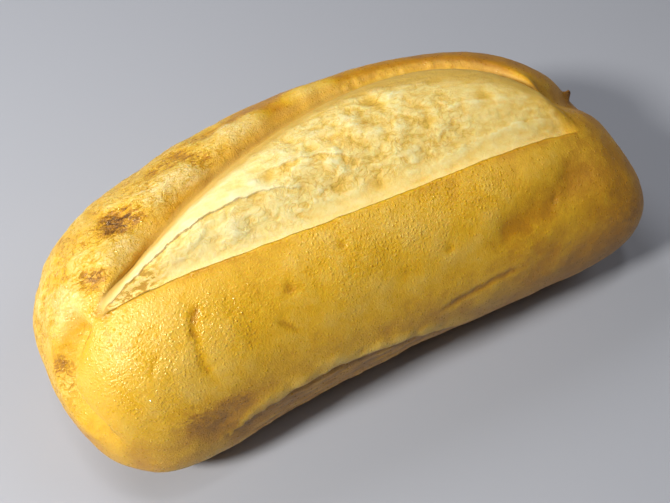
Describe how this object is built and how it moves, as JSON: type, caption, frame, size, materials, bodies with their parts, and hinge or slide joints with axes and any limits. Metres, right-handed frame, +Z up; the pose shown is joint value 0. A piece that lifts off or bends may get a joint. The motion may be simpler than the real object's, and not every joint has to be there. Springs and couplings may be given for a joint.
{
  "type": "bread roll",
  "caption": "Long baked bread roll with a fat smooth front lobe and a leaf-shaped split along its top, resting on its flat underside.",
  "frame": {"origin": "on the flat underside, below the middle of the roll's box", "axes": "+X along the roll's length, +Y from the fat front lobe towards the rear ridge, +Z up"},
  "size_m": [0.18, 0.0904, 0.0625],
  "materials": {
    "crust": "golden baked crust with a faint glaze, pale matt crumb in the split"
  },
  "bodies": {
    "root": {"bread_roll": "crust"}
  },
  "joints": []
}
